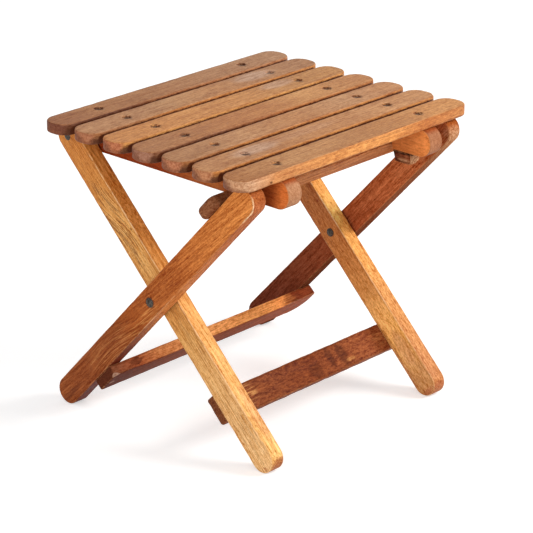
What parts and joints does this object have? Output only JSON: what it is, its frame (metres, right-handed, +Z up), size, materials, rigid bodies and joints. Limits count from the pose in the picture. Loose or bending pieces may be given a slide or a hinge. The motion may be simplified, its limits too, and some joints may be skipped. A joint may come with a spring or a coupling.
{
  "type": "folding stool",
  "caption": "Folding wooden stool with a slatted seat on hooked rails, two crossed pairs of round-ended legs and cross boards.",
  "frame": {"origin": "on the floor, under the middle of the opened stool", "axes": "+X along the seat slats to the sitter's left-right, +Y towards the seat bolts at the back, +Z up"},
  "size_m": [0.428, 0.385, 0.4],
  "materials": {
    "slat_tan": "oiled oak, weathered, with a satin sheen and softened edges",
    "slat_dark": "oiled oak, darker and browner, satin",
    "rail_wood": "varnished orange-brown oak",
    "grey_wood": "bare weathered grey-brown oak",
    "red_wood": "varnished reddish-brown oak, worn at the edges",
    "gold_wood": "varnished golden oak with open grain",
    "brown_wood": "worn mottled brown oak",
    "dowel_wood": "bare hardwood dowel",
    "dark_steel": "darkened, slightly worn steel"
  },
  "bodies": {
    "inner_frame": {"inner_leg_left": "gold_wood", "inner_leg_right": "gold_wood", "inner_stretcher": "brown_wood", "inner_stretcher_dowels": "dowel_wood", "scissor_rivets": "dark_steel", "scissor_spacers": "dark_steel", "scissor_washers": "dark_steel", "seat_bolts": "dark_steel", "seat_spacers": "dark_steel", "seat_nuts": "dark_steel"},
    "outer_frame": {"outer_leg_left": "red_wood", "outer_leg_right": "red_wood", "outer_crossbar": "red_wood", "crossbar_dowels": "dowel_wood", "outer_stretcher": "red_wood", "outer_stretcher_dowels": "dowel_wood"},
    "seat": {"seat_slat_1": "slat_dark", "seat_slat_2": "slat_tan", "seat_slat_3": "slat_tan", "seat_slat_4": "slat_dark", "seat_slat_5": "slat_tan", "seat_slat_6": "slat_tan", "seat_slat_7": "slat_tan", "slat_screws": "dark_steel", "seat_rail_left": "rail_wood", "seat_rail_right": "rail_wood", "keeper_block": "grey_wood", "keeper_screw": "dark_steel"}
  },
  "joints": [
    {"name": "scissor_pivot", "type": "hinge", "parent": "inner_frame", "child": "outer_frame", "pos_m": [0, 0.0001, 0.19068], "axis": [1, 0, 0], "range_deg": [0, 92.3]},
    {"name": "seat_pivot", "type": "hinge", "parent": "inner_frame", "child": "seat", "pos_m": [0, 0.1735, 0.36645], "axis": [1, 0, 0], "range_deg": [-92.3, 0]}
  ],
  "couplings": [
    {"joint": "seat_pivot", "follows": "scissor_pivot", "ratio": -1}
  ]
}
